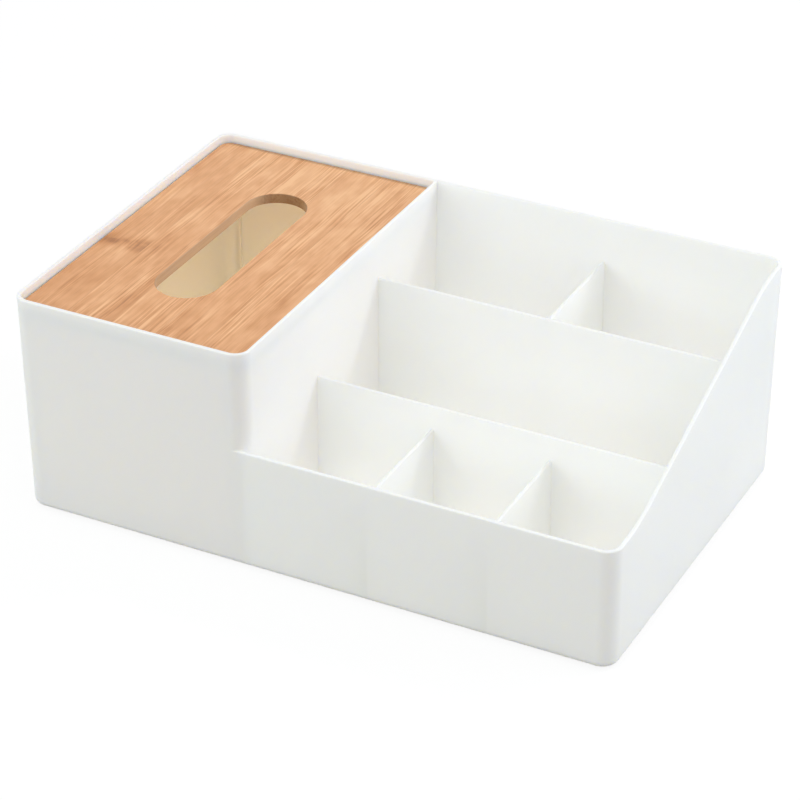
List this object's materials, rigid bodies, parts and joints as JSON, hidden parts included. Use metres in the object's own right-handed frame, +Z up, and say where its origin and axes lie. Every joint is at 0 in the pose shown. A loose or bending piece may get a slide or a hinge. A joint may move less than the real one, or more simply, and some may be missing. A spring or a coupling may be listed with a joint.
{
  "type": "tissue box organizer",
  "caption": "White moulded desk organizer with a tissue bay under a recessed, slotted bamboo lid and stepped open compartments behind a low front.",
  "frame": {"origin": "on the surface that the part stands on, under the middle of the tray's rim outline", "axes": "+X to the right along the long side, away from the tissue bay; +Y from the low front to the high back; +Z up"},
  "size_m": [0.3, 0.194, 0.1128],
  "materials": {
    "white_plastic": "satin moulded polypropylene, slightly translucent",
    "bamboo": "fine-sanded laminated bamboo with a thin clear matt lacquer",
    "pad_rubber": "soft matt pale grey rubber"
  },
  "bodies": {
    "organizer_tray": {"tray": "white_plastic", "foot_pad_front_left": "pad_rubber", "foot_pad_front_right": "pad_rubber", "foot_pad_back_left": "pad_rubber", "foot_pad_back_right": "pad_rubber"},
    "tissue_lid": {"lid_strip_1": "bamboo", "lid_strip_2": "bamboo", "lid_strip_3_front": "bamboo", "lid_strip_3_back": "bamboo", "lid_strip_4": "bamboo", "lid_strip_5": "bamboo"}
  },
  "joints": [
    {"name": "lid_lift", "type": "slide", "parent": "organizer_tray", "child": "tissue_lid", "axis": [0, 0, 1], "range_m": [0, 0.06]}
  ]
}
